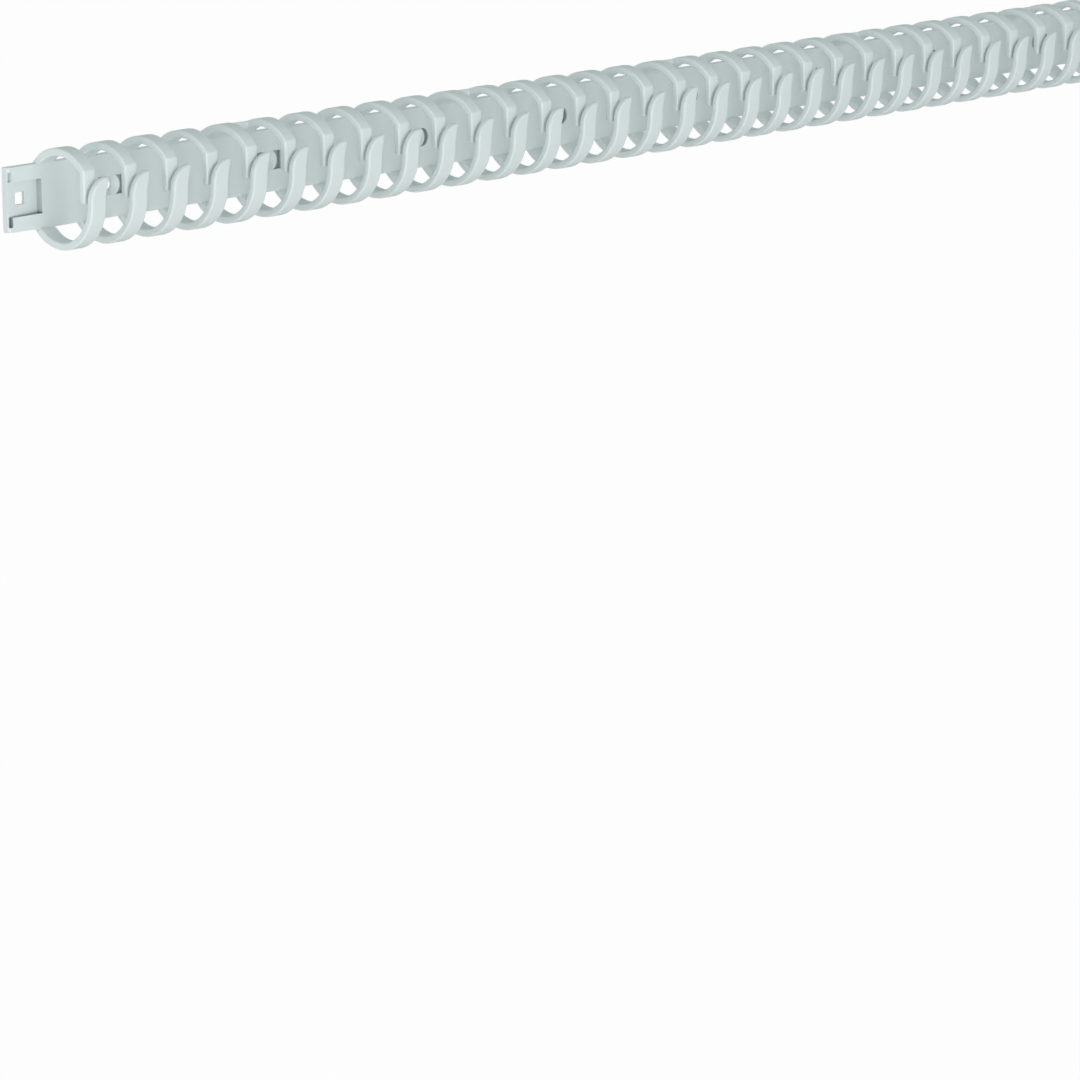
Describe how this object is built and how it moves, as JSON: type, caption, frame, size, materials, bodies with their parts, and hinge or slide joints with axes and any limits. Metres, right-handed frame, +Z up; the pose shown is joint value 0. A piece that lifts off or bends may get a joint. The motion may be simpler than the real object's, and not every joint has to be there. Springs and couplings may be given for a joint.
{
  "type": "slotted wiring duct",
  "caption": "Slotted wiring duct: a flat back strip with a row of open rings made of overlapping fingers, a pocketed joining end and screw seats along the strip.",
  "frame": {"origin": "middle of the strip's flat wall face, half way along its length and half way up its height", "axes": "+X along the strip away from the pocketed end, +Y into the wall that the strip is fixed to, +Z up, so the finger tips face -Y"},
  "size_m": [0.5, 0.0256, 0.029],
  "materials": {
    "duct_plastic": "smooth satin, light grey"
  },
  "bodies": {
    "root": {"duct": "duct_plastic"}
  },
  "joints": []
}
